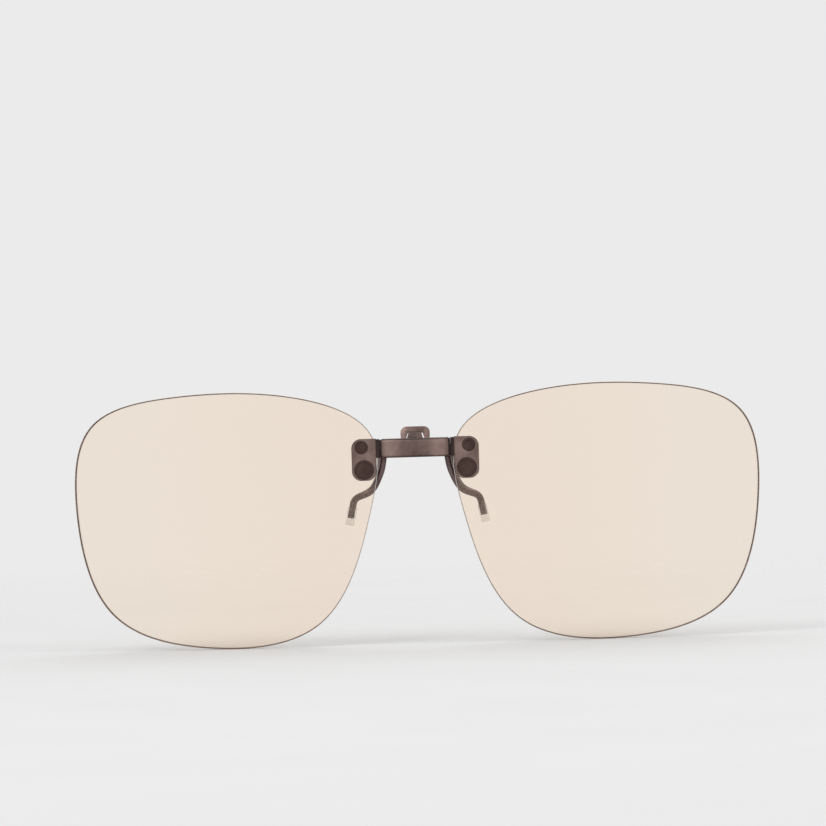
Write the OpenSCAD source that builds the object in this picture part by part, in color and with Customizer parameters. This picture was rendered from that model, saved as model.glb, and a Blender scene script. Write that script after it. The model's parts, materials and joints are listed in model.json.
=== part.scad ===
// Flip-up clip-on sunglasses.
// Two rimless tinted lenses are riveted to stamped brackets on a flip shaft. The shaft turns in a
// folded bridge housing. Two wire prongs under the housing and two on a sprung rear jaw clamp onto
// a pair of spectacles, and pinching the tab above the bridge opens the jaw.
// +X is right and +Y is back towards the wearer. The origin is the centre of the four grips.
// Every piece is drawn for the right side, and the left one is its mirror image.

/* [Lenses] */
// Width of one lens
lens_w = 62.5; // [58:0.1:66]
// Height of one lens
lens_h = 52.3; // [50:0.1:56]
// Thickness of one lens
lens_t = 1.2; // [1:0.1:1.3]
// Gap between the two lenses at the nose
lens_gap = 15.3; // [15.3:0.1:16]
// Radius of a lens's front surface
lens_radius = 150; // [140:1:170]
// Angle that each lens is wrapped round the face
lens_wrap = 5; // [4:0.5:6]

/* [Bridge] */
// Length of the bridge housing
bar_w = 13.6; // [13.4:0.05:13.6]
// Height of the bridge housing
bar_h = 3.9; // [3.8:0.1:4.1]
// Thickness of the sheet that the housing and the jaw lever are folded from
sheet_t = 0.5; // [0.4:0.05:0.5]
// Height of the flip shaft and the jaw pin above the centre of the grips
axis_z = 13.9; // [13.8:0.1:14.4]

/* [Hinges] */
// Diameter of the flip shaft
flip_shaft_d = 1.2; // [1.1:0.05:1.2]
// Diameter of the jaw pin
jaw_pin_d = 1; // [0.9:0.05:1]
// Running clearance on radius
running_gap = 0.05; // [0.03:0.01:0.08]

/* [Prongs] */
// Diameter of the prong wire
wire_d = 1.4; // [1.2:0.1:1.4]
// Diameter of a soft grip sleeve
grip_d = 1.8; // [1.8:0.1:2.2]
// Gap between the front and rear grips when the jaw is closed
grip_gap = 0.4; // [0.2:0.1:0.6]
// Distance from the middle to the grips on each side
grip_x = 13.65; // [13.4:0.05:14]

/* [Hidden] */
$fn = 64;

metal = [0.42, 0.34, 0.32];
dark_metal = [0.3, 0.23, 0.21];
steel = [0.7, 0.7, 0.7];
nylon = [0.2, 0.17, 0.16];
silicone = [0.9, 0.9, 0.9, 0.6];
tint = [0.93, 0.87, 0.81, 0.5];

touch = 0.01; // gap left between pieces that touch, so that their solids never share space
more = 1; // how far a cutter runs past the face that it cuts

// Bridge housing: a channel that opens to the back, with a side wall at each end
bar_x = bar_w / 2;
bar_front = -6.25;
bar_rear = -1;
wall_rear = -2.9; // rear edge of the channel's top and bottom walls
bar_top = axis_z + bar_h / 2;
bar_bottom = axis_z - bar_h / 2;
bar_round = 0.7;
side_x = bar_x - sheet_t; // inner face of a side wall
tongue_base = 1.75; // half widths of the thumb rest, and how far it stands above the housing
tongue_tip = 1.3;
tongue_h = 1.15;

// Flip axis, with its nylon bushes
flip_y = -4.4;
flip_r = flip_shaft_d / 2;
bush_bore_r = flip_r + running_gap;
bush_wall = 0.3;
bush_r = bush_bore_r + bush_wall;
bush_inset = 0.1; // how far a bush stands inside the side wall
flange_r = 1.8;
flange_t = 0.35;
flat_depth = 0.48; // from the shaft's axis to a detent flat
flat_x = 2.3; // half length of a flat
lug_x = bar_x + flange_t + running_gap; // inner face of a bracket's hinge lug
lug_t = 0.4;
lug_r = 1.9;
lug_front = -5.6;

// Jaw pin, its spring and the lever's ears
jaw_y = -2.1;
jaw_r = jaw_pin_d / 2;
jaw_bore_r = jaw_r + running_gap;
ear_r = 1.2;
ear_x = 5.6; // outer face of an ear, and of the lever between its wings
coil_r = 0.95;
coil_wire_r = 0.15;
coil_turns = 7;
coil_x = 1.6; // half length of the coil
upper_leg_h = 1.2; // height of the upper leg's end above the pin

// Jaw lever: an upright plate behind the housing
lever_t = 0.6;
lever_y = -0.9;
lever_bottom = bar_bottom + 0.05;
wing_x = 7.8;
wing_top = axis_z - 0.7;
collar_r = 1.05;
collar_y = 0.3;
collar_x = 7.1;
collar_top = wing_top;
collar_wall = 0.3; // left above the end of a wire
tab_x = 3; // half width of the thumb tab
tab_base = axis_z + 1.6;
tab_top = axis_z + 4.3;
tab_lean = 25;
tab_round = 1.3;
window_base = 1.95; // half widths of the tab's window
window_tip = 1.5;
window_top = axis_z + 3.2;

// Prongs and grips
wire_r = wire_d / 2;
grip_r = grip_d / 2;
grip_y = grip_r + grip_gap / 2;
tip_lean = 11.5; // outward lean of the grips
wire_end = -0.2; // height of a wire's end
grip_low = -1.65;
grip_high = 1.9;
grip_round = 0.3;
front_stem = [6.55, -2.9, bar_bottom + 0.1];

// Lenses
lens_x = (lens_gap + lens_w) / 2;
lens_front = -6.75; // the foremost point of a lens
sphere_x = lens_x - lens_radius * sin(lens_wrap);
sphere_y = lens_front + lens_radius;
cone_far = lens_radius + 10;
cone_near = lens_radius - 10;

// Bracket, pads, backing plate and rivets, in the flat frame that touches the lens at this point
seat_x = 10.5;
seat_z = 11.7;
pad_t = 0.15;
plate_t = 0.8;
neck_t = 0.4; // of the thinner strip that joins a plate to its lug
plate_half_w = 2.5;
plate_up = 4.2; // top and bottom of the plate, from the seat
plate_down = -4.3;
plate_corner_r = 1.9;
pad_inset = 0.2;
backing_inset = 0.5;
backing_t = 0.5;
back_sag = 0.08; // depth of the lens's hollow back under the rear pad
backing_w = -lens_t - back_sag - pad_t; // front face of the backing plate
upper_spot = [0.5, 2.45];
lower_spot = [0.05, -2.15];
upper_r = 0.55;
lower_r = 0.8;
upper_head_r = 1.25;
lower_head_r = 1.9;
head_t = 0.25;
head_sink = 0.35; // depth of a rivet's recess in the bracket
recess_gap = 0.1; // round a rivet's head
dish_rim = 0.35; // width of the rim round a head's shallow dish
tail_flare = 0.4; // how far a formed end spreads past its shank

// The lens outline is a closed B-spline on these nine points, seen from the front.
// It is stretched to lens_w by lens_h and centred on the lens.
OUTLINE = [
    [32, 3], [30.5, 22.5], [11, 26], [-11, 26.5], [-33.5, 19.5],
    [-30, 1], [-22, -27.5], [5.5, -29], [27.5, -23],
];

function spline(a, b, c, d, t) =
    ((1 - t) ^ 3 * a + (3 * t ^ 3 - 6 * t ^ 2 + 4) * b
    + (-3 * t ^ 3 + 3 * t ^ 2 + 3 * t + 1) * c + t ^ 3 * d) / 6;

function closed_spline(p, steps) = let (n = len(p)) [
    for (i = [0 : n - 1], k = [0 : steps - 1])
        spline(p[i], p[(i + 1) % n], p[(i + 2) % n], p[(i + 3) % n], k / steps)
];

// An open curve that starts at the first point and ends at the last
function open_spline(p, steps) = let (
    n = len(p),
    q = concat([2 * p[0] - p[1]], p, [2 * p[n - 1] - p[n - 2]])
) concat(
    [for (i = [0 : n - 2], k = [0 : steps - 1])
        spline(q[i], q[i + 1], q[i + 2], q[i + 3], k / steps)],
    [p[n - 1]]
);

function fit(p, size) = let (
    low = [min([for (q = p) q.x]), min([for (q = p) q.y])],
    high = [max([for (q = p) q.x]), max([for (q = p) q.y])]
) [
    for (q = p) [
        ((q.x - low.x) / (high.x - low.x) - 0.5) * size.x,
        ((q.y - low.y) / (high.y - low.y) - 0.5) * size.y,
    ]
];

// A round tube along a path that never runs along the direction side
module tube(path, r, side, sides) {
    n = len(path);
    points = [
        for (i = [0 : n - 1]) let (
            way = path[min(i + 1, n - 1)] - path[max(i - 1, 0)],
            across = cross(way, side) / norm(cross(way, side)),
            over = cross(way, across) / norm(way)
        )
        for (k = [0 : sides - 1])
            path[i] + r * (cos(360 * k / sides) * across + sin(360 * k / sides) * over)
    ];
    walls = [
        for (i = [0 : n - 2], k = [0 : sides - 1]) let (
            a = i * sides + k,
            b = i * sides + (k + 1) % sides
        )
        for (face = [[a, b, a + sides], [b, b + sides, a + sides]]) face
    ];
    caps = [
        [for (k = [sides - 1 : -1 : 0]) k],
        [for (k = [0 : sides - 1]) (n - 1) * sides + k],
    ];
    polyhedron(points, concat(walls, caps));
}

// Extrudes a shape drawn in Y and Z, from x0 to x1
module along_x(x0, x1) {
    translate([x0, 0, 0]) rotate([90, 0, 90]) linear_extrude(x1 - x0) children();
}

// Extrudes a shape drawn in X and Z, from y0 to y1
module along_y(y0, y1) {
    translate([0, y1, 0]) rotate([90, 0, 0]) linear_extrude(y1 - y0) children();
}

module rod_x(r, x0, x1, y) {
    along_x(x0, x1) translate([y, axis_z]) circle(r);
}

module left() {
    mirror([1, 0, 0]) children();
}

module both_sides() {
    children();
    left() children();
}

module rounded_box(low, high, r) {
    translate([low.x + r, low.y]) square([high.x - low.x - 2 * r, high.y - low.y]);
    translate([low.x, low.y + r]) square([high.x - low.x, high.y - low.y - 2 * r]);
    for (x = [low.x + r, high.x - r], y = [low.y + r, high.y - r]) translate([x, y]) circle(r);
}

// Puts children on the lens's front surface at the seat: Z is straight out of the lens
module at_seat() {
    rise = asin(seat_z / lens_radius);
    turn = asin((seat_x - sphere_x) / (lens_radius * cos(rise)));
    translate([sphere_x, sphere_y, 0])
        rotate([0, 0, turn])
            rotate([90 - rise, 0, 0])
                translate([0, 0, lens_radius])
                    children();
}

// A slab in the seat's frame, with w measured out of the lens
module slab(w0, w1) {
    translate([0, 0, w0]) linear_extrude(w1 - w0) children();
}

// Outline of the bracket plate, drawn smaller by inset: only the corner at the nose is square
module plate_shape(inset) {
    half = plate_half_w - inset;
    high = plate_up - inset;
    corner = plate_corner_r - inset;
    rounded_box([-half, plate_down + inset], [half, high], corner);
    translate([-half, high - corner]) square(corner);
}

module rivet_holes(gap) {
    at_seat() {
        translate(upper_spot) cylinder(r = upper_r + gap, h = 8, center = true);
        translate(lower_spot) cylinder(r = lower_r + gap, h = 8, center = true);
    }
}

// ---- Bridge body ----

module bridge_housing() {
    color(metal) difference() {
        union() {
            difference() {
                along_x(-bar_x, bar_x)
                    rounded_box([bar_front, bar_bottom], [bar_rear, bar_top], bar_round);
                along_x(-side_x, side_x)
                    translate([bar_front + sheet_t, bar_bottom + sheet_t])
                        square([bar_rear - bar_front, bar_h - 2 * sheet_t]);
                along_x(-side_x, side_x)
                    translate([wall_rear, bar_bottom - more])
                        square([bar_rear - wall_rear + more, bar_h + 2 * more]);
            }
            along_y(wall_rear - sheet_t, wall_rear) thumb_rest();
        }
        rod_x(bush_r + touch, -bar_x - more, bar_x + more, flip_y);
        rod_x(jaw_r + touch, -bar_x - more, bar_x + more, jaw_y);
        both_sides() translate(front_stem - [0, 0, more]) cylinder(r = wire_r + touch, h = more);
    }
}

module thumb_rest() {
    polygon([
        [-tongue_base, bar_top - sheet_t], [tongue_base, bar_top - sheet_t],
        [tongue_tip, bar_top + tongue_h], [-tongue_tip, bar_top + tongue_h],
    ]);
}

// The grips' centre line: a point at height z, in the plane y
function on_grip_line(z, y) = [grip_x - z * tan(tip_lean), y, z];

function tip_points(y) = [for (z = [3.3, 2.3, 1.1, wire_end]) on_grip_line(z, y)];

// A prong's route between its root and its tip
FRONT_ROUTE = [
    [6.7, -2.9, 11], [7, -2.9, 9.4], [7.9, -2.9, 7.3], [9, -2.9, 5.3],
    [10.6, -2.7, 4.5], [12.2, -1.8, 4.1],
];
REAR_ROUTE = [
    [7.1, 0.3, 12], [7.1, 0.3, 11.1], [7.3, 2, 9.4], [8.1, 3.5, 7.4], [9.1, 3.8, 5.5],
    [10.6, 3.3, 4.6], [12.2, 2, 4.1],
];

module prong(start, route, y) {
    color(metal)
        tube(open_spline(concat([start], route, tip_points(y)), 4), wire_r, [0, 1, 0], 12);
}

module front_prong() {
    prong(front_stem, FRONT_ROUTE, -grip_y);
}

module rear_prong() {
    prong([collar_x, collar_y, collar_top - collar_wall], REAR_ROUTE, grip_y);
}

// A sleeve over the end of a prong, closed below the wire
module grip(y) {
    height = grip_high - grip_low;
    color(silicone) translate([grip_x, y, 0]) rotate([0, -tip_lean, 0]) difference() {
        translate([0, 0, grip_low]) rotate_extrude() {
            square([grip_r - grip_round, height]);
            translate([0, grip_round]) square([grip_r, height - grip_round]);
            translate([grip_r - grip_round, grip_round]) circle(grip_round);
        }
        translate([0, 0, wire_end - touch])
            cylinder(r = wire_r + touch, h = grip_high - wire_end + more);
    }
}

module jaw_pin() {
    color(steel) rod_x(jaw_r, -bar_x, bar_x, jaw_y);
}

// Torsion spring: down the front of the lever, round the pin and forward over the housing's floor
module jaw_spring() {
    turn = -(coil_turns * 360 + 90);
    steps = coil_turns * 16 + 4;
    coil = [
        for (i = [0 : steps]) let (a = turn * i / steps, x = coil_x * (2 * i / steps - 1))
            [x, jaw_y + coil_r * cos(a), axis_z + coil_r * sin(a)]
    ];
    upper_leg = [-coil_x, jaw_y + coil_r, axis_z + upper_leg_h];
    lower_leg = [coil_x, flip_y + 0.4, axis_z - coil_r - 0.25];
    color(steel) tube(concat([upper_leg], coil, [lower_leg]), coil_wire_r, [1, 0, 0], 8);
}

// Leaf spring that bows back from the housing's front wall to the shaft's flat
module detent_spring() {
    leaf_x = 4.5;
    leaf_t = 0.15;
    leaf_h = 2;
    bow = 0.6;
    bow_r = (leaf_x ^ 2 + bow ^ 2) / (2 * bow);
    crown_y = flip_y - flat_depth - 0.02;
    color(steel) translate([0, crown_y - bow_r, axis_z - leaf_h / 2])
        linear_extrude(leaf_h) intersection() {
            difference() {
                circle(bow_r, $fn = 180);
                circle(bow_r - leaf_t, $fn = 180);
            }
            translate([-leaf_x, 0]) square([2 * leaf_x, bow_r + more]);
        }
}

module hinge_bush() {
    color(nylon) difference() {
        union() {
            rod_x(bush_r, side_x - bush_inset, bar_x + flange_t, flip_y);
            rod_x(flange_r, bar_x + touch, bar_x + flange_t, flip_y);
        }
        rod_x(bush_bore_r, side_x - more, bar_x + more, flip_y);
    }
}

// ---- Rear jaw body ----

module jaw_lever() {
    color(metal) difference() {
        union() {
            along_y(lever_y, lever_y + lever_t) {
                translate([-ear_x, lever_bottom]) square([2 * ear_x, bar_top - lever_bottom]);
                translate([-wing_x, lever_bottom]) square([2 * wing_x, wing_top - lever_bottom]);
            }
            thumb_tab();
            both_sides() {
                along_x(ear_x - sheet_t, ear_x) {
                    translate([jaw_y, axis_z]) circle(ear_r);
                    translate([jaw_y, axis_z - ear_r]) square([lever_y - jaw_y + touch, 2 * ear_r]);
                }
                translate([collar_x, collar_y, lever_bottom])
                    cylinder(r = collar_r, h = collar_top - lever_bottom);
            }
        }
        rod_x(jaw_bore_r, -ear_x - more, ear_x + more, jaw_y);
        both_sides() translate([collar_x, collar_y, lever_bottom - more])
            cylinder(r = wire_r + touch, h = collar_top - collar_wall - lever_bottom + more + touch);
    }
}

// The arch above the lever that the thumb pushes forward, with a window through it
module thumb_tab() {
    height = (tab_top - tab_base) / cos(tab_lean);
    window_h = (window_top - tab_base) / cos(tab_lean);
    translate([0, lever_y, tab_base]) rotate([-tab_lean, 0, 0]) along_y(0, lever_t) difference() {
        rounded_box([-tab_x, -0.2], [tab_x, height], tab_round);
        polygon([
            [-window_base, 0.3], [window_base, 0.3],
            [window_tip, window_h], [-window_tip, window_h],
        ]);
    }
}

// ---- Lens frame body ----

module flip_shaft() {
    end = lug_x + lug_t;
    flat_y = flip_y - flat_depth;
    flat_z = axis_z - flat_depth;
    color(steel) difference() {
        rod_x(flip_r, -end, end, flip_y);
        translate([-flat_x, flat_y - more, axis_z - more]) cube([2 * flat_x, more, 2 * more]);
        translate([-flat_x, flip_y - more, flat_z - more]) cube([2 * flat_x, 2 * more, more]);
    }
}

module bracket() {
    neck_x = seat_x - lug_x - 0.05;
    color(metal) difference() {
        union() {
            at_seat() {
                slab(pad_t, pad_t + plate_t) plate_shape(0);
                slab(pad_t, pad_t + neck_t)
                    translate([-neck_x, axis_z - seat_z - lug_r]) square([neck_x, 2 * lug_r]);
            }
            along_x(lug_x, lug_x + lug_t) intersection() {
                translate([lug_front, axis_z - lug_r]) square([2 * bar_h, 2 * lug_r]);
                union() {
                    translate([flip_y, axis_z]) circle(lug_r);
                    translate([lug_front, axis_z - lug_r]) square([flip_y - lug_front, 2 * lug_r]);
                }
            }
        }
        rod_x(flip_r + touch, lug_x - more, lug_x + lug_t + more, flip_y);
        rivet_holes(touch);
        at_seat() translate([0, 0, pad_t + plate_t - head_sink]) {
            translate(upper_spot) cylinder(r = upper_head_r + recess_gap, h = more);
            translate(lower_spot) cylinder(r = lower_head_r + recess_gap, h = more);
        }
    }
}

// A spherical shell, cut square to its surface along the outline
module lens() {
    outline = fit(closed_spline(OUTLINE, 8), [lens_w, lens_h]);
    offset_x = lens_x - sphere_x;
    cone = [
        for (p = outline) let (q = [p.x + offset_x, p.y])
            q * cone_far / sqrt(lens_radius ^ 2 - q.x ^ 2 - q.y ^ 2)
    ];
    color(tint) difference() {
        translate([sphere_x, sphere_y, 0]) intersection() {
            difference() {
                sphere(lens_radius, $fn = 200);
                sphere(lens_radius - lens_t, $fn = 200);
            }
            translate([0, -cone_far, 0])
                rotate([90, 0, 0])
                    mirror([0, 0, 1])
                        linear_extrude(cone_far - cone_near, scale = cone_near / cone_far)
                            polygon(cone);
        }
        rivet_holes(touch);
    }
}

// Thin soft pad between the bracket and the lens
module front_pad() {
    color(nylon) difference() {
        at_seat() slab(touch, pad_t - touch) plate_shape(pad_inset);
        rivet_holes(touch);
    }
}

// Thin soft pad between the lens's hollow back and the backing plate
module rear_pad() {
    color(nylon) difference() {
        at_seat() slab(backing_w + touch, -lens_t - back_sag) plate_shape(backing_inset);
        rivet_holes(touch);
    }
}

module backing_plate() {
    color(dark_metal) difference() {
        at_seat() slab(backing_w - backing_t, backing_w) plate_shape(backing_inset);
        rivet_holes(touch);
    }
}

// A rivet with its head in the bracket's recess and its formed end behind the backing plate
module rivet(spot, shank_r, head_r, dish) {
    head_w = pad_t + plate_t - head_sink + touch;
    rear_w = backing_w - backing_t - touch;
    color(dark_metal) at_seat() translate(spot) difference() {
        union() {
            slab(rear_w - head_t, head_w + head_t) circle(shank_r);
            slab(head_w, head_w + head_t) circle(head_r);
            slab(rear_w - head_t, rear_w) circle(shank_r + tail_flare);
        }
        slab(head_w + head_t - dish, head_w + head_t + more) circle(head_r - dish_rim);
    }
}

module upper_rivet() {
    rivet(upper_spot, upper_r, upper_head_r, 0.1);
}

module lower_rivet() {
    rivet(lower_spot, lower_r, lower_head_r, 0.12);
}

bridge_housing();
left() front_prong();  // front_prong_left
front_prong();  // front_prong_right
left() grip(-grip_y);  // front_grip_left
grip(-grip_y);  // front_grip_right
jaw_pin();
jaw_spring();
detent_spring();
left() hinge_bush();  // hinge_bush_left
hinge_bush();  // hinge_bush_right
jaw_lever();
left() rear_prong();  // rear_prong_left
rear_prong();  // rear_prong_right
left() grip(grip_y);  // rear_grip_left
grip(grip_y);  // rear_grip_right
flip_shaft();
left() bracket();  // bracket_left
bracket();  // bracket_right
left() lens();  // lens_left
lens();  // lens_right
left() front_pad();  // front_pad_left
front_pad();  // front_pad_right
left() rear_pad();  // rear_pad_left
rear_pad();  // rear_pad_right
left() backing_plate();  // backing_plate_left
backing_plate();  // backing_plate_right
left() upper_rivet();  // upper_rivet_left
upper_rivet();  // upper_rivet_right
left() lower_rivet();  // lower_rivet_left
lower_rivet();  // lower_rivet_right
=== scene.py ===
import json
import math

import bmesh
import bpy
from mathutils import Matrix, Vector


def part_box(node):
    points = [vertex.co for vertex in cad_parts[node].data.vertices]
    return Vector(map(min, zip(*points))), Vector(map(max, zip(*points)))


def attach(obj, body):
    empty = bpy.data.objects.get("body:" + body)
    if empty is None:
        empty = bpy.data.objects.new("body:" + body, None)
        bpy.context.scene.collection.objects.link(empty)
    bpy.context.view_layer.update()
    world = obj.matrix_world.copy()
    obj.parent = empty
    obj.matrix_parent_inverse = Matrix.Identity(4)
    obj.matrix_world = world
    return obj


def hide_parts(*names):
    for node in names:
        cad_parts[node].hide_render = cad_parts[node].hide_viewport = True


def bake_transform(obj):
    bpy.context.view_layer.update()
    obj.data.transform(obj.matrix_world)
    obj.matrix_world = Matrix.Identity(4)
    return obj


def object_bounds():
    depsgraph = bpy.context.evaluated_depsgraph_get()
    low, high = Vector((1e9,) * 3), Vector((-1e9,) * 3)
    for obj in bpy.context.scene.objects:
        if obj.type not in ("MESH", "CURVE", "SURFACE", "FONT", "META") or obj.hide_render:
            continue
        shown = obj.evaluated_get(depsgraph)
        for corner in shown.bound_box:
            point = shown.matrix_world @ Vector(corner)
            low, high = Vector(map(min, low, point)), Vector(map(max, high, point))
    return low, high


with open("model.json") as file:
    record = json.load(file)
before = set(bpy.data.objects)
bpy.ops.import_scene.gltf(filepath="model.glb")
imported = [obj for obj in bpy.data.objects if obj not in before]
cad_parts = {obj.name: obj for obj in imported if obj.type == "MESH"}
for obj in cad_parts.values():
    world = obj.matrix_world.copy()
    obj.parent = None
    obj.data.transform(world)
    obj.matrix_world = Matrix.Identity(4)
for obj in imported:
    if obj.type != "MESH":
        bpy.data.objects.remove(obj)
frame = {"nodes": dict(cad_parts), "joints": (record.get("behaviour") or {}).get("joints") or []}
cad_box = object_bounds()

# Flip-up clip-on sunglasses. Lengths are in metres, and MM turns the part's millimetres into them.
MM = 0.001
SIDES = {"left": -1, "right": 1}

# The clip's frame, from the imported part
JOINTS = {joint["name"]: joint for joint in frame["joints"]}
FLIP = Vector(JOINTS["flip_up"]["pos_m"])
JAW = Vector(JOINTS["jaw_open"]["pos_m"])
LENS_LOW, LENS_HIGH = (Vector(corner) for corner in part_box("lens_right"))
LENS_T = 1.2 * MM
LENS_RADIUS = 150 * MM
LENS_WRAP = math.radians(5)
WIRE_R = 0.69 * MM  # just under the CAD wire, as the smoother curve swings a little wider
WIRE_END = -0.2 * MM
GRIP_R = 0.9 * MM
GRIP_Y = 1.1 * MM
GRIP_X = 13.65 * MM
GRIP_TOP = 1.9 * MM
GRIP_BOTTOM = -1.65 * MM
GRIP_ROUND = 0.3 * MM
TIP_LEAN = math.radians(11.5)


# ---- Curves ----

def spline(a, b, c, d, t):
    """A point of a uniform cubic B-spline."""
    return (
        (1 - t) ** 3 * a
        + (3 * t**3 - 6 * t**2 + 4) * b
        + (-3 * t**3 + 3 * t**2 + 3 * t + 1) * c
        + t**3 * d
    ) / 6


def closed_spline(points, steps):
    n = len(points)
    return [
        spline(*(points[(i + j) % n] for j in range(4)), k / steps)
        for i in range(n)
        for k in range(steps)
    ]


def open_spline(points, steps):
    """A curve that starts at the first point and ends at the last."""
    q = [2 * points[0] - points[1], *points, 2 * points[-1] - points[-2]]
    curve = [
        spline(*q[i : i + 4], k / steps) for i in range(len(points) - 1) for k in range(steps)
    ]
    return [*curve, points[-1].copy()]


# ---- Mesh building ----

def piece(name, verts, faces, body, node, materials, face_material=None):
    """Makes a smooth shaded mesh that stands for a CAD node, and rides on a body if one is named."""
    mesh = bpy.data.meshes.new(name)
    mesh.from_pydata([tuple(v) for v in verts], [], faces)
    bm = bmesh.new()
    bm.from_mesh(mesh)
    bmesh.ops.recalc_face_normals(bm, faces=bm.faces)
    bm.to_mesh(mesh)
    bm.free()
    for m in materials:
        mesh.materials.append(m)
    for i, polygon in enumerate(mesh.polygons):
        polygon.use_smooth = True
        if face_material:
            polygon.material_index = face_material[i]
    mesh.set_sharp_from_angle(angle=math.radians(35))
    obj = bpy.data.objects.new(name, mesh)
    bpy.context.scene.collection.objects.link(obj)
    if body:
        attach(obj, body)
    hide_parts(node)
    return obj


def strips(rings, closed_ends=True):
    """Faces between rings of the same length, with a cap at each end."""
    n = len(rings[0])
    verts = [v for ring in rings for v in ring]
    faces = [
        (i * n + k, i * n + (k + 1) % n, (i + 1) * n + (k + 1) % n, (i + 1) * n + k)
        for i in range(len(rings) - 1)
        for k in range(n)
    ]
    if closed_ends:
        faces.append(tuple(reversed(range(n))))
        faces.append(tuple(range((len(rings) - 1) * n, len(rings) * n)))
    return verts, faces


def swept(path, radii, side, sides):
    """Rings round a path that never runs along the direction side."""
    rings = []
    for i, at in enumerate(path):
        way = (path[min(i + 1, len(path) - 1)] - path[max(i - 1, 0)]).normalized()
        across = way.cross(side).normalized()
        over = way.cross(across)
        turns = (2 * math.pi * k / sides for k in range(sides))
        rings.append([at + radii[i] * (math.cos(a) * across + math.sin(a) * over) for a in turns])
    return rings


def rounded_ends(path, r, edge):
    """A path and its radii, with a small round where the wire was cut."""
    start = (path[0] - path[1]).normalized()
    end = (path[-1] - path[-2]).normalized()
    steps = 4
    angles = [math.pi / 2 * k / steps for k in range(steps + 1)]
    first = [path[0] - start * edge + start * edge * math.cos(a) for a in angles]
    last = [path[-1] - end * edge + end * edge * math.sin(a) for a in angles]
    shrink = [r - edge + edge * math.sin(a) for a in angles]
    clear = 1.2 * edge
    inner = [p for p in path if min((p - path[0]).length, (p - path[-1]).length) > clear]
    return [*first, *inner, *last], [*shrink, *[r] * len(inner), *reversed(shrink)]


# ---- Materials ----

class Nodes:
    """A material's node tree, with short ways to add a node and join it."""

    def __init__(self, name):
        self.material = bpy.data.materials.new(name)
        self.material.use_nodes = True
        self.tree = self.material.node_tree
        self.shader = self.tree.nodes["Principled BSDF"]

    def add(self, kind, inputs=None, **settings):
        node = self.tree.nodes.new(kind)
        for key, value in settings.items():
            setattr(node, key, value)
        for key, value in (inputs or {}).items():
            if isinstance(value, bpy.types.NodeSocket):
                self.tree.links.new(value, node.inputs[key])
            else:
                node.inputs[key].default_value = value
        return node

    def set(self, **values):
        for key, value in values.items():
            self.shader.inputs[key.replace("_", " ")].default_value = value

    def drive(self, key, socket):
        self.tree.links.new(socket, self.shader.inputs[key])

    def place(self, stretch=(1, 1, 1)):
        """Object coordinates, stretched."""
        where = self.add("ShaderNodeTexCoord").outputs["Object"]
        return self.add("ShaderNodeMapping", {"Vector": where, "Scale": stretch}).outputs[0]

    def noise(self, scale, detail=4, roughness=0.5, stretch=(1, 1, 1)):
        inputs = {"Vector": self.place(stretch), "Scale": scale, "Detail": detail,
                  "Roughness": roughness}
        return self.add("ShaderNodeTexNoise", inputs).outputs["Fac"]

    def ramp(self, fac, *stops):
        """A colour ramp through (position, colour or grey) stops."""
        node = self.add("ShaderNodeValToRGB", {"Fac": fac})
        ramp = node.color_ramp
        while len(ramp.elements) < len(stops):
            ramp.elements.new(0.5)
        for element, (at, colour) in zip(ramp.elements, stops):
            element.position = at
            element.color = (colour,) * 3 + (1,) if isinstance(colour, float) else (*colour, 1)
        return node.outputs["Color"]

    def span(self, fac, low, high):
        """Maps a 0 to 1 value onto low to high."""
        return self.add("ShaderNodeMapRange", {"Value": fac, "To Min": low, "To Max": high}
                        ).outputs["Result"]

    def mix(self, fac, a, b, blend="MIX"):
        node = self.add("ShaderNodeMix", data_type="RGBA", blend_type=blend)
        for i, value in ((0, fac), (6, a), (7, b)):
            if isinstance(value, bpy.types.NodeSocket):
                self.tree.links.new(value, node.inputs[i])
            elif i == 0:
                node.inputs[i].default_value = value
            else:
                node.inputs[i].default_value = (*value, 1)
        return node.outputs[2]

    def bump(self, height, strength, distance, normal=None):
        inputs = {"Height": height, "Strength": strength, "Distance": distance}
        if normal:
            inputs["Normal"] = normal
        return self.add("ShaderNodeBump", inputs).outputs["Normal"]

    def away(self, axis, middle, reach):
        """0 at a place on an axis and 1 at that distance from it on either side."""
        at = self.add("ShaderNodeSeparateXYZ", {"Vector": self.place()}).outputs[axis]
        offset = self.add("ShaderNodeMath", {0: at, 1: middle}, operation="SUBTRACT").outputs[0]
        distance = self.add("ShaderNodeMath", {0: offset}, operation="ABSOLUTE").outputs[0]
        inputs = {"Value": distance, "From Min": 0.0, "From Max": reach}
        return self.add("ShaderNodeMapRange", inputs).outputs["Result"]

    def shaded(self, colour, axis, middle, stops):
        """Painted light and shade: a colour darkened or lightened by (distance in mm, brightness)
        stops.
        """
        reach = 1.25 * stops[-1][0]
        ramp = self.ramp(self.away(axis, middle, reach * MM), *((d / reach, b) for d, b in stops))
        return self.mix(1.0, colour, ramp, "MULTIPLY")

    def edges(self, radius, sharpness):
        """1 on an edge and 0 away from it, from how far a rounded normal leans."""
        round_normal = self.add("ShaderNodeBevel", {"Radius": radius}, samples=6).outputs["Normal"]
        flat_normal = self.add("ShaderNodeNewGeometry").outputs["Normal"]
        dot = self.add("ShaderNodeVectorMath", operation="DOT_PRODUCT")
        self.tree.links.new(round_normal, dot.inputs[0])
        self.tree.links.new(flat_normal, dot.inputs[1])
        inputs = {"Value": dot.outputs["Value"], "From Min": 1.0, "From Max": 1 - sharpness}
        return self.add("ShaderNodeMapRange", inputs).outputs["Result"]


# Painted shade along every edge: its width, and how dark it is as a share of the dark plating
# colour.
EDGE_WIDTH = 0.16 * MM
EDGE_SHADE = 0.45


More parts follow.
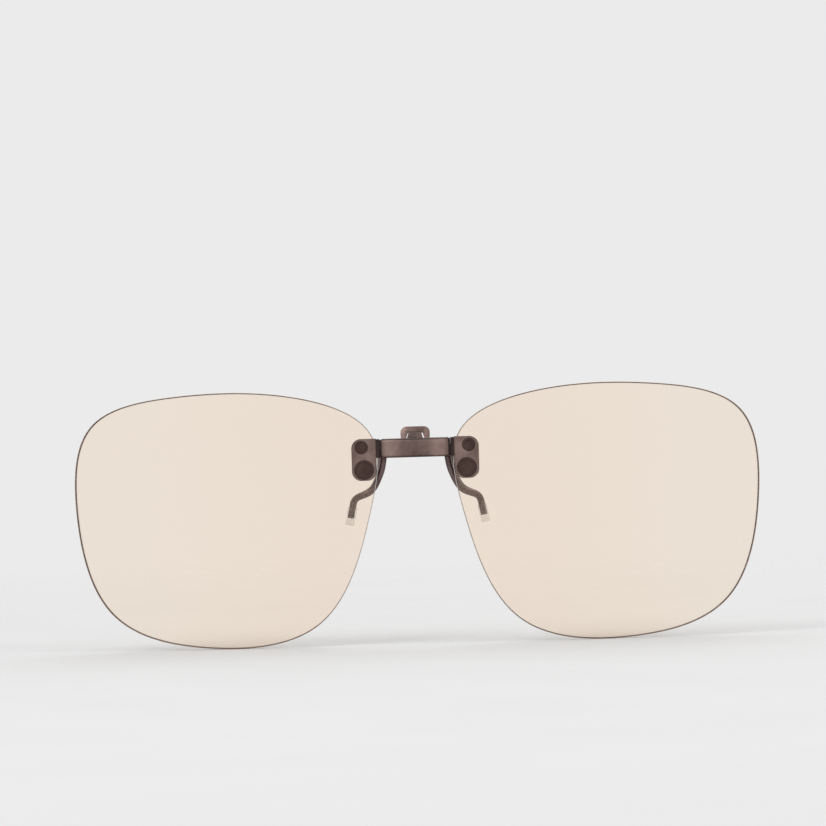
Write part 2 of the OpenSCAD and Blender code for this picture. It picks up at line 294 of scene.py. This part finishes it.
def plated(name, dark, mid, worn, roughness, grain, painted_light_stops=(), wear=0.3):
    """Brown plated metal: cloudy plating, fine grain along one way, painted light and shade by
    position, and painted shade on the edges.
    """
    n = Nodes(name)
    cloud = n.noise(420, 5, 0.6)
    colour = n.ramp(cloud, (0.34, dark), (0.62, mid))
    scratch = n.noise(900, 6, 0.7, grain)
    colour = n.mix(n.span(scratch, 0.0, wear), colour, worn)
    # Painted light and shade, laid on by position.
    for axis, middle, stops in painted_light_stops:
        colour = n.shaded(colour, axis, middle, stops)
    # Painted shade: every edge is darkened towards a darker copy of the plating.
    colour = n.mix(n.edges(EDGE_WIDTH, 0.2), colour, tuple(EDGE_SHADE * c for c in dark))
    n.drive("Base Color", colour)
    n.set(Metallic=0.9, Specular_IOR_Level=0.5)
    n.drive("Roughness", n.span(n.noise(700, 4, 0.6, grain), roughness - 0.08, roughness + 0.1))
    fine = n.bump(n.noise(5000, 3, 0.5, grain), 0.12, 0.01 * MM)
    n.drive("Normal", n.bump(cloud, 0.1, 0.03 * MM, fine))
    return n.material


def bare_steel(name):
    """Drawn spring steel with fine lines round the wire."""
    n = Nodes(name)
    colour = n.ramp(n.noise(900, 5), (0.3, (0.42, 0.4, 0.37)), (0.7, (0.62, 0.6, 0.57)))
    n.drive("Base Color", colour)
    n.set(Metallic=1.0)
    n.drive("Roughness", n.span(n.noise(1500, 4), 0.22, 0.4))
    n.drive("Normal", n.bump(n.noise(6000, 3), 0.1, 0.01 * MM))
    return n.material


def moulded(name, low, high, roughness, gloss=0.5):
    """Matte moulded plastic."""
    n = Nodes(name)
    n.set(Specular_IOR_Level=gloss)
    n.drive("Base Color", n.ramp(n.noise(800, 4), (0.35, low), (0.65, high)))
    n.drive("Roughness", n.span(n.noise(2500, 3), roughness - 0.06, roughness + 0.08))
    n.drive("Normal", n.bump(n.noise(9000, 2), 0.15, 0.01 * MM))
    return n.material


def clear_silicone(name):
    """Clear soft sleeve with faint haze and finger marks."""
    n = Nodes(name)
    haze = n.ramp(n.noise(600, 4), (0.3, 0.86), (0.7, 0.93))
    n.drive("Base Color", haze)
    n.set(Transmission_Weight=1.0, IOR=1.41)
    n.drive("Roughness", n.span(n.noise(1800, 4), 0.04, 0.16))
    n.drive("Normal", n.bump(n.noise(2500, 3), 0.08, 0.02 * MM))
    return n.material


def lens_tint(name):
    """Polished, very pale amber sheet. The tint is a little deeper towards the nose."""
    n = Nodes(name)
    body = n.ramp(n.away("X", 0.0, LENS_HIGH.x), (0.15, TINT_NOSE), (0.8, TINT_TEMPLE))
    n.drive("Base Color", n.mix(n.span(n.noise(45, 3), 0.0, 0.25), body, TINT_DEEP))
    n.set(Transmission_Weight=1.0, IOR=1.5)
    n.drive("Roughness", n.ramp(n.noise(120, 5, 0.65), (0.45, 0.0), (0.8, 0.03)))
    n.drive("Normal", n.bump(n.noise(70, 2), 0.02, 0.02 * MM))
    return n.material


def lens_edge(name):
    """The ground edge of a lens, which gathers the tint: brown, with a painted highlight that makes
    it pale at the nose.
    """
    n = Nodes(name)
    colour = n.ramp(n.noise(500, 5), (0.3, (0.2, 0.115, 0.085)), (0.7, (0.33, 0.22, 0.17)))
    # Painted highlight: the edge colour is paled towards the nose.
    nose_highlight = n.ramp(n.away("X", 0.0, LENS_HIGH.x), (0.14, 1.0), (0.3, 0.0))
    n.drive("Base Color", n.mix(nose_highlight, colour, (0.62, 0.56, 0.52)))
    n.drive("Roughness", n.span(n.noise(2500, 4), 0.3, 0.5))
    n.drive("Normal", n.bump(n.noise(8000, 3), 0.15, 0.01 * MM))
    return n.material


def floor_paper(name):
    """Matte paper that fades out into the studio's own grey, so that no horizon shows."""
    n = Nodes(name)
    n.drive("Base Color", n.ramp(n.noise(25, 4), (0.3, 0.77), (0.7, 0.79)))
    n.drive("Roughness", n.span(n.noise(200, 3), 0.8, 0.95))
    n.set(Specular_IOR_Level=0.1)
    far = n.add("ShaderNodeVectorMath", {0: n.place()}, operation="LENGTH").outputs["Value"]
    inputs = {"Value": far, "From Min": FLOOR_FADE[0], "From Max": FLOOR_FADE[1]}
    fade = n.add("ShaderNodeMapRange", inputs, interpolation_type="SMOOTHSTEP").outputs["Result"]
    clear = n.add("ShaderNodeBsdfTransparent").outputs[0]
    blend = n.add("ShaderNodeMixShader", {0: fade, 1: n.shader.outputs[0], 2: clear}).outputs[0]
    n.tree.links.new(blend, n.tree.nodes["Material Output"].inputs["Surface"])
    return n.material


# How far from the middle the floor starts to fade, and where it is gone
FLOOR_FADE = (0.12, 0.6)

TINT_NOSE = (1.0, 0.87, 0.745)
TINT_TEMPLE = (1.0, 0.9, 0.79)
TINT_DEEP = (1.0, 0.85, 0.725)

ALONG_X = (0.06, 1, 1)
ALONG_Z = (1, 1, 0.06)
PLATING = ((0.11, 0.07, 0.062), (0.18, 0.12, 0.106), (0.36, 0.27, 0.245))
WIRE_PLATING = ((0.08, 0.053, 0.05), (0.145, 0.098, 0.094), (0.28, 0.21, 0.2))
DARK_PLATING = ((0.058, 0.034, 0.029), (0.085, 0.051, 0.043), (0.15, 0.105, 0.095))
# Painted light and shade on the plating, where it is darker or brighter: axis, middle, and (mm from
# the middle, brightness) stops
# Painted shade in the bar's middle and painted highlights near both its ends.
BAR_ENDS_PAINTED_LIGHT = ("X", 0.0, ((0.0, 0.9), (2.6, 1.0), (4.2, 1.6), (5.8, 1.6), (6.6, 1.0)))
# Painted shade along the bar's folded top and bottom edges.
BAR_EDGES_PAINTED_SHADE = ("Z", JAW.z, ((1.5, 1.0), (1.75, 0.4), (1.95, 0.4), (2.15, 0.95)))
# Painted highlights on both sides of the thumb tab, and painted shade in its middle.
TAB_SIDES_PAINTED_LIGHT = ("X", 0.0, ((0.0, 0.9), (1.6, 0.95), (2.2, 1.5), (2.9, 1.35)))
# Painted shade in the recess of the bracket's hinge fold, with the plate made brighter just beside
# it.
HINGE_FOLD_PAINTED_LIGHT = ("X", 0.0, ((7.9, 0.28), (8.15, 1.1), (9.4, 1.25), (12.6, 1.0)))
BROWN = plated("bronze_sheet", *PLATING, 0.34, ALONG_X, (BAR_ENDS_PAINTED_LIGHT, BAR_EDGES_PAINTED_SHADE))
BROWN_LEVER = plated("bronze_lever", *PLATING, 0.34, ALONG_X, (TAB_SIDES_PAINTED_LIGHT,))
BROWN_UPRIGHT = plated("bronze_plate", *PLATING, 0.36, ALONG_Z, (HINGE_FOLD_PAINTED_LIGHT,))
BROWN_WIRE = plated("bronze_wire", *WIRE_PLATING, 0.3, ALONG_Z)
RIVET = plated("dark_rivet", *DARK_PLATING, 0.42, (1, 1, 1), wear=0.12)
STEEL = bare_steel("spring_steel")
NYLON = moulded("nylon", (0.028, 0.018, 0.015), (0.045, 0.03, 0.026), 0.7, 0.15)
PAD = moulded("clear_pad", (0.35, 0.3, 0.27), (0.45, 0.4, 0.36), 0.45)
SILICONE = clear_silicone("silicone")
TINT = lens_tint("tinted_lens")
EDGE = lens_edge("lens_edge")


# ---- Lenses ----

# The outline of a lens, from its centre, in millimetres: a closed B-spline on nine points
OUTLINE = [
    (32, 3), (30.5, 22.5), (11, 26), (-11, 26.5), (-33.5, 19.5),
    (-30, 1), (-22, -27.5), (5.5, -29), (27.5, -23),
]
LENS_CENTRE = (LENS_LOW + LENS_HIGH) / 2
SPHERE = Vector((
    LENS_CENTRE.x - LENS_RADIUS * math.sin(LENS_WRAP),
    LENS_LOW.y + LENS_RADIUS,
    LENS_CENTRE.z,
))


def lens_outline(steps):
    """The outline on the lens's front surface, as points seen from the front."""
    curve = closed_spline([Vector(p) for p in OUTLINE], steps)
    low = Vector((min(p.x for p in curve), min(p.y for p in curve)))
    high = Vector((max(p.x for p in curve), max(p.y for p in curve)))
    size = (LENS_HIGH.x - LENS_LOW.x, LENS_HIGH.z - LENS_LOW.z)
    return [
        Vector((
            ((p.x - low.x) / (high.x - low.x) - 0.5) * size[0],
            ((p.y - low.y) / (high.y - low.y) - 0.5) * size[1],
        ))
        for p in curve
    ]


def lens_mesh(side):
    """A spherical shell whose edge is cut square to its surface, with a small polished chamfer."""
    outline = lens_outline(24)
    chamfer = 0.12 * MM
    rings_across = 22

    def at(p, share, depth):
        """The point at a share of the way out to the outline, that deep below the front."""
        x = LENS_CENTRE.x + p.x * share - SPHERE.x
        z = p.y * share
        d = math.sqrt(LENS_RADIUS**2 - x * x - z * z)
        point = Vector((x, -d, z)) * ((LENS_RADIUS - depth) / LENS_RADIUS) + SPHERE
        return Vector((point.x * side, point.y, point.z))

    def inset(p, by):
        return 1 - by / p.length

    shares = [k / rings_across for k in range(1, rings_across)]
    front = [[at(p, s, 0) for p in outline] for s in shares]
    front.append([at(p, inset(p, chamfer), 0) for p in outline])
    wall = [[at(p, 1, depth) for p in outline] for depth in (chamfer, LENS_T - chamfer)]
    back = [[at(p, inset(p, chamfer), LENS_T) for p in outline]]
    back += [[at(p, s, LENS_T) for p in outline] for s in reversed(shares)]
    rings = [*front, *wall, *back]
    verts, faces = strips(rings, closed_ends=False)
    n = len(outline)
    tint, edge = 0, 1
    edge_rows = len(wall) + 1
    row_material = [tint] * (len(front) - 1) + [edge] * edge_rows + [tint] * (len(back) - 1)
    face_material = [row_material[i // n] for i in range(len(faces))]
    for start, depth in ((0, 0), ((len(rings) - 1) * n, LENS_T)):
        verts.append(at(Vector((0, 0)), 1, depth))
        hub = len(verts) - 1
        faces += [(hub, start + k, start + (k + 1) % n) for k in range(n)]
        face_material += [tint] * n
    return verts, faces, face_material


for side_name, side in SIDES.items():
    verts, faces, face_material = lens_mesh(side)
    piece(f"lens_shell_{side_name}", verts, faces, "lens_frame",
          f"lens_{side_name}", [TINT, EDGE], face_material)


# ---- Prongs and grips ----

# The routes of the right prongs' centre lines above the grips, in millimetres
FRONT_ROUTE = [
    (6.55, -2.9, 12.05), (6.7, -2.9, 11), (7, -2.9, 9.4), (7.9, -2.9, 7.3), (9, -2.9, 5.3),
    (10.6, -2.7, 4.5), (12.2, -1.8, 4.1),
]
REAR_ROUTE = [
    (7.1, 0.3, 12.9), (7.1, 0.3, 12), (7.1, 0.3, 11.1), (7.3, 2, 9.4), (8.1, 3.5, 7.4),
    (9.1, 3.8, 5.5), (10.6, 3.3, 4.6), (12.2, 2, 4.1),
]
TIP_HEIGHTS = (3.3, 2.3, 1.1, -0.2)
FACE_UP_DOWN = Vector((0, 1, 0))


def mirrored(points, side):
    return [Vector((p[0] * side, p[1], p[2])) for p in points]


def prong_path(route, y):
    tips = [(GRIP_X - z * MM * math.tan(TIP_LEAN), y, z * MM) for z in TIP_HEIGHTS]
    return [Vector(p) * MM for p in route] + [Vector(p) for p in tips]


def make_prong(name, node, route, y, side, body):
    path = open_spline(mirrored(prong_path(route, y), side), 12)
    path, radii = rounded_ends(path, WIRE_R, 0.15 * MM)
    verts, faces = strips(swept(path, radii, FACE_UP_DOWN, 28))
    piece(name, verts, faces, body, node, [BROWN_WIRE])


def make_grip(name, node, y, side, body):
    """A clear sleeve: up the outside from its flat end, over the lip and down the bore."""
    corner = [math.radians(a) for a in range(-90, 1, 15)]
    lip = 0.12 * MM
    bore = WIRE_R + 0.03 * MM
    end = GRIP_BOTTOM + GRIP_ROUND
    profile = [
        (GRIP_R - GRIP_ROUND + GRIP_ROUND * math.cos(a), end + GRIP_ROUND * math.sin(a))
        for a in corner
    ]
    profile += [(GRIP_R * 0.985, 0.0), (GRIP_R, GRIP_TOP * 0.6), (GRIP_R, GRIP_TOP - lip)]
    profile += [(GRIP_R - lip, GRIP_TOP), (bore + 0.02 * MM, GRIP_TOP), (bore, GRIP_TOP - lip)]
    profile += [(bore, WIRE_END), (bore * 0.6, WIRE_END - 0.1 * MM)]
    turns = 36
    lean = Matrix.Rotation(-TIP_LEAN, 4, "Y")
    rings = []
    for r, z in profile:
        ring = []
        for k in range(turns):
            a = 2 * math.pi * k / turns
            p = lean @ Vector((r * math.cos(a), r * math.sin(a), z)) + Vector((GRIP_X, y, 0))
            ring.append(Vector((p.x * side, p.y, p.z)))
        rings.append(ring)
    verts, faces = strips(rings)
    piece(name, verts, faces, body, node, [SILICONE])


for side_name, side in SIDES.items():
    make_prong(f"front_wire_{side_name}", f"front_prong_{side_name}",
               FRONT_ROUTE, -GRIP_Y, side, "bridge")
    make_prong(f"rear_wire_{side_name}", f"rear_prong_{side_name}",
               REAR_ROUTE, GRIP_Y, side, "rear_jaw")
    make_grip(f"front_sleeve_{side_name}", f"front_grip_{side_name}", -GRIP_Y, side, "bridge")
    make_grip(f"rear_sleeve_{side_name}", f"rear_grip_{side_name}", GRIP_Y, side, "rear_jaw")


# ---- Jaw spring ----

COIL_TURNS = 7
COIL_X = 1.6 * MM
COIL_R = 0.95 * MM
COIL_WIRE_R = 0.15 * MM


def make_jaw_spring():
    """A torsion spring round the jaw pin."""
    turn = -(COIL_TURNS * 2 * math.pi + math.pi / 2)
    steps = COIL_TURNS * 40
    coil = []
    for i in range(steps + 1):
        a = turn * i / steps
        x = COIL_X * (2 * i / steps - 1)
        coil.append(Vector((x, JAW.y + COIL_R * math.cos(a), JAW.z + COIL_R * math.sin(a))))
    upper = Vector((-COIL_X, JAW.y + COIL_R, JAW.z + 1.2 * MM))
    lower = Vector((COIL_X, FLIP.y + 0.4 * MM, JAW.z - COIL_R - 0.25 * MM))
    path, radii = rounded_ends([upper, *coil, lower], COIL_WIRE_R, 0.04 * MM)
    verts, faces = strips(swept(path, radii, Vector((1, 0, 0)), 12))
    spring = piece("torsion_spring", verts, faces, None, "jaw_spring", [STEEL])
    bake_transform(spring)


make_jaw_spring()


# ---- CAD nodes that keep their shape ----

def finish_node(name, material, bevel, segments=3):
    """Rounds a CAD node's edges with modifiers, and gives it its material."""
    obj = frame["nodes"][name]
    obj.data.materials.clear()
    obj.data.materials.append(material)
    for polygon in obj.data.polygons:
        polygon.use_smooth = True
    weld = obj.modifiers.new("join", "WELD")
    weld.merge_threshold = 0.002 * MM
    flat = obj.modifiers.new("flat", "DECIMATE")
    flat.decimate_type = "DISSOLVE"
    flat.angle_limit = math.radians(0.5)
    edge = obj.modifiers.new("edge", "BEVEL")
    edge.width = bevel
    edge.segments = segments
    edge.limit_method = "ANGLE"
    edge.angle_limit = math.radians(35)
    edge.harden_normals = True
    edge.use_clamp_overlap = True


finish_node("bridge_housing", BROWN, 0.1 * MM)
finish_node("jaw_lever", BROWN_LEVER, 0.08 * MM)
for side_name in SIDES:
    finish_node(f"bracket_{side_name}", BROWN_UPRIGHT, 0.1 * MM)
    finish_node(f"backing_plate_{side_name}", RIVET, 0.08 * MM)
    finish_node(f"upper_rivet_{side_name}", RIVET, 0.05 * MM)
    finish_node(f"lower_rivet_{side_name}", RIVET, 0.05 * MM)
    finish_node(f"front_pad_{side_name}", PAD, 0.02 * MM, 2)
    finish_node(f"rear_pad_{side_name}", PAD, 0.02 * MM, 2)
    finish_node(f"hinge_bush_{side_name}", NYLON, 0.04 * MM)
finish_node("jaw_pin", STEEL, 0.05 * MM)
finish_node("flip_shaft", STEEL, 0.05 * MM)
finish_node("detent_spring", STEEL, 0.03 * MM, 2)


# ---- Floor, light and camera ----

def make_floor():
    bm = bmesh.new()
    bmesh.ops.create_circle(bm, cap_ends=True, segments=96, radius=1.2 * FLOOR_FADE[1])
    mesh = bpy.data.meshes.new("floor")
    bm.to_mesh(mesh)
    bm.free()
    mesh.materials.append(floor_paper("floor_paper"))
    floor = bpy.data.objects.new("floor", mesh)
    floor.location = (0, 0, cad_box[0][2])
    bpy.context.scene.collection.objects.link(floor)


def soft_box(name, at, size, watts, colour=(1, 1, 1)):
    light = bpy.data.lights.new(name, "AREA")
    light.shape = "RECTANGLE"
    light.size, light.size_y = size
    light.energy = watts
    light.color = colour
    obj = bpy.data.objects.new(name, light)
    obj.location = at
    aim = Vector((0, 0, 0.01)) - Vector(at)
    obj.rotation_euler = aim.to_track_quat("-Z", "Y").to_euler()
    bpy.context.scene.collection.objects.link(obj)


def make_world():
    world = bpy.data.worlds.new("studio")
    world.use_nodes = True
    background = world.node_tree.nodes["Background"]
    grey = 0.83
    background.inputs["Color"].default_value = (grey, grey, grey, 1)
    background.inputs["Strength"].default_value = 1.0
    bpy.context.scene.world = world


def make_camera():
    """Nearly square on to the lenses, just above their middle, and rolled a little."""
    distance = 0.9
    view_width = 168.16 * MM
    sensor = 36
    camera = bpy.data.cameras.new("camera")
    camera.sensor_width = sensor
    camera.lens = sensor * distance / view_width
    camera.clip_start = 0.01
    camera.clip_end = 50
    obj = bpy.data.objects.new("camera", camera)
    aside, lens_plane, height = -0.21 * MM, -5 * MM, 20.94 * MM
    yaw, tilt = math.radians(1.2), math.radians(-1.71)
    target = Matrix.Translation((aside, lens_plane, height))
    turn = Matrix.Rotation(yaw, 4, "Z")
    back = Matrix.Translation((0, -distance, 0))
    roll = Matrix.Rotation(tilt, 4, "Z")
    obj.matrix_world = target @ turn @ back @ Matrix.Rotation(math.radians(90), 4, "X") @ roll
    bpy.context.scene.collection.objects.link(obj)
    bpy.context.scene.camera = obj


make_floor()
make_world()
soft_box("key", (-0.45, -0.55, 0.6), (0.5, 0.5), 1.5)
soft_box("fill", (0.75, -0.3, 0.35), (0.5, 0.5), 1.1)
soft_box("back", (0.1, 0.6, 0.6), (0.6, 0.4), 0.8)
make_camera()
bpy.context.scene.view_settings.view_transform = "Standard"
